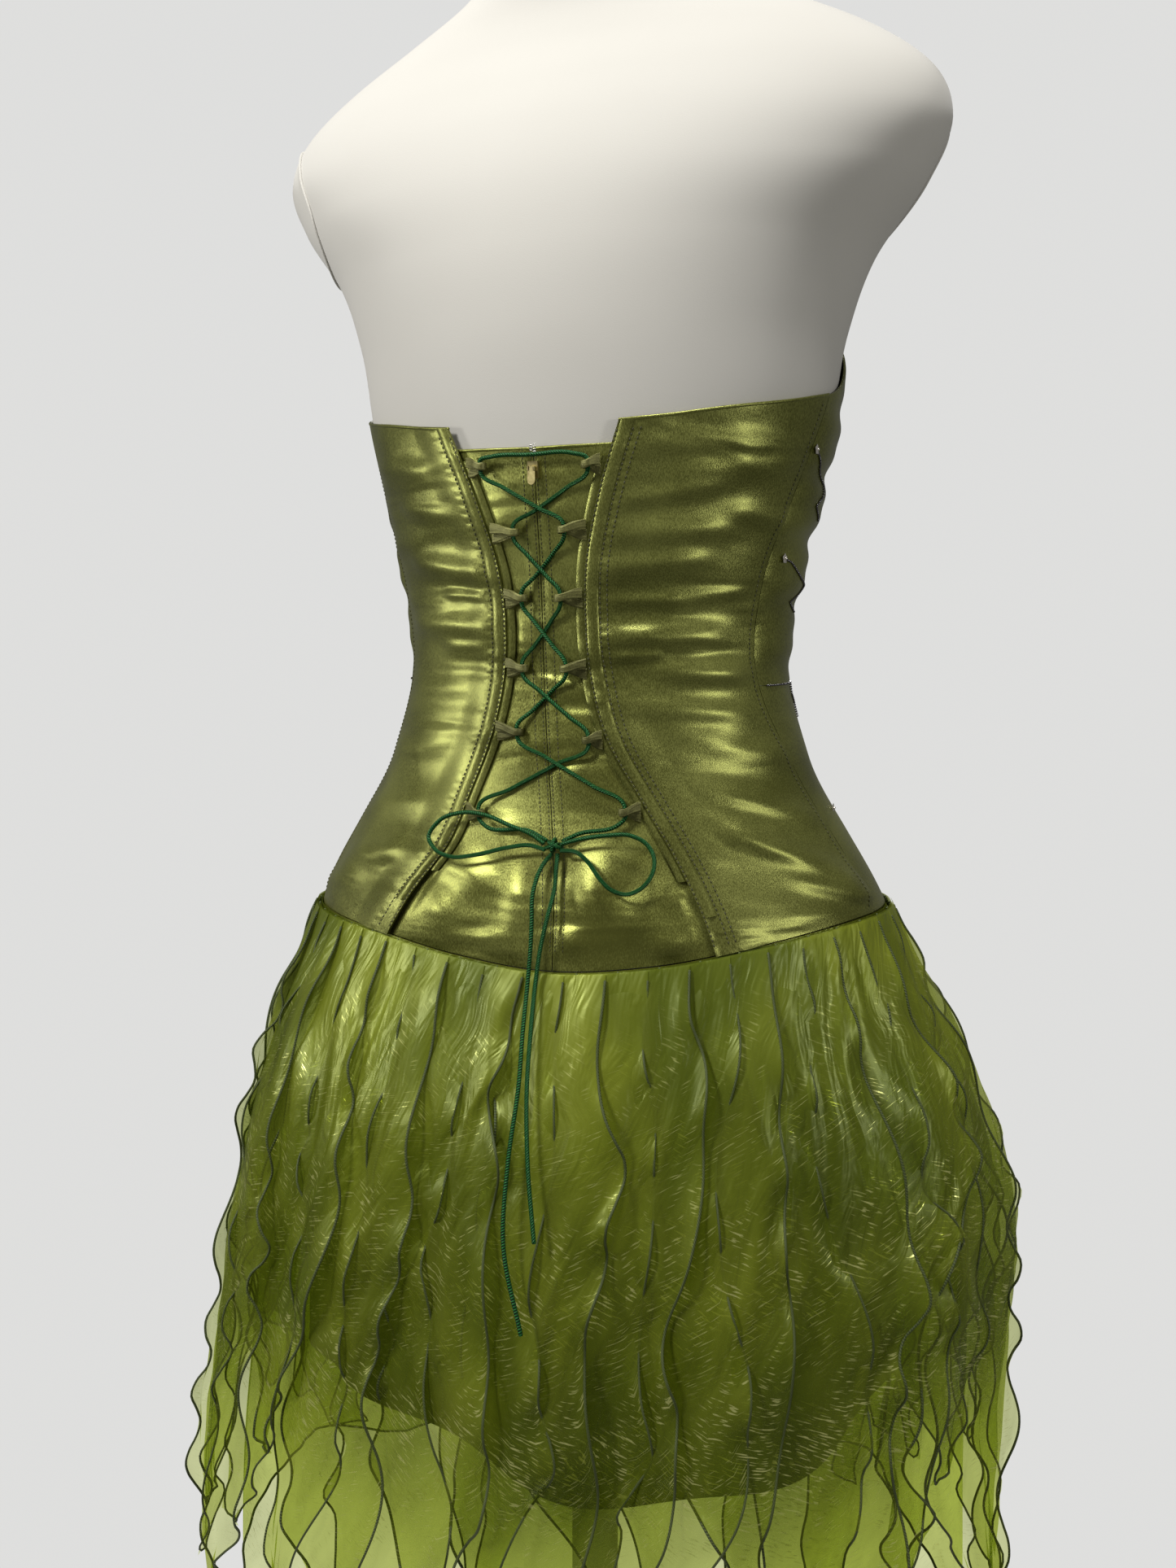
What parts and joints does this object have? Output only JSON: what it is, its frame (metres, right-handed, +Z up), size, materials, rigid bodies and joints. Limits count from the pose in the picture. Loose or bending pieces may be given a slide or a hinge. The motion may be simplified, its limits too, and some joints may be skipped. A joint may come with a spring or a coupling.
{
  "type": "corset dress on a limbless dress form",
  "caption": "Strapless satin corset dress with a laced back and a layered organza strip skirt, worn on a limbless dress form with a round stand.",
  "frame": {"origin": "the middle of the stand's round foot, on the floor", "axes": "+Z up along the stand's pole; the dress faces -Y, so its laced back faces +Y; the wearer's right is towards -X"},
  "size_m": [0.5458, 0.3792, 1.519],
  "materials": {
    "satin": "olive duchess satin",
    "satin_edging": "olive satin, folded and stitched",
    "organza": "sheer crystal organza",
    "lace_cord": "bottle green satin cord",
    "form_cover": "ivory jersey cover",
    "stand_metal": "satin white paint",
    "zip_metal": "antique brass"
  },
  "bodies": {
    "dress_on_form": {"back_panel_left": "satin", "back_panel_right": "satin", "front_upper_drape": "satin", "front_lower": "satin", "modesty_panel_left": "satin", "modesty_panel_right": "satin", "loop_facing_left": "satin", "loop_facing_right": "satin", "satin_skirt": "satin", "lacing_loop_left_1": "satin", "lacing_loop_left_2": "satin", "lacing_loop_left_3": "satin", "lacing_loop_left_4": "satin", "lacing_loop_left_5": "satin", "lacing_loop_left_6": "satin", "lacing_loop_right_1": "satin", "lacing_loop_right_2": "satin", "lacing_loop_right_3": "satin", "lacing_loop_right_4": "satin", "lacing_loop_right_5": "satin", "lacing_loop_right_6": "satin", "bone_channel_left": "satin_edging", "bone_channel_right": "satin_edging", "organza_under_layer": "organza", "organza_strip_01": "organza", "organza_strip_02": "organza", "organza_strip_03": "organza", "organza_strip_04": "organza", "organza_strip_05": "organza", "organza_strip_06": "organza", "organza_strip_07": "organza", "organza_strip_08": "organza", "organza_strip_09": "organza", "organza_strip_10": "organza", "organza_strip_11": "organza", "organza_strip_12": "organza", "organza_strip_13": "organza", "organza_strip_14": "organza", "organza_strip_15": "organza", "organza_strip_16": "organza", "organza_strip_17": "organza", "organza_strip_18": "organza", "organza_strip_19": "organza", "organza_strip_20": "organza", "organza_strip_21": "organza", "organza_strip_22": "organza", "organza_strip_23": "organza", "lace_from_left": "lace_cord", "lace_from_right": "lace_cord", "lace_tail_left": "lace_cord", "lace_tail_right": "lace_cord", "bow_loop_left": "lace_cord", "bow_loop_right": "lace_cord", "bow_knot": "lace_cord", "form_torso": "form_cover", "form_neck_cap": "stand_metal", "stand_pole": "stand_metal", "stand_base": "stand_metal", "zip_slider": "zip_metal"},
    "zip_pull": {"zip_pull": "zip_metal"}
  },
  "joints": [
    {"name": "zip_pull_hinge", "type": "hinge", "parent": "dress_on_form", "child": "zip_pull", "pos_m": [-0.00199, 0.10287, 1.16597], "axis": [1, 0, 0], "range_deg": [-8, 90]}
  ]
}
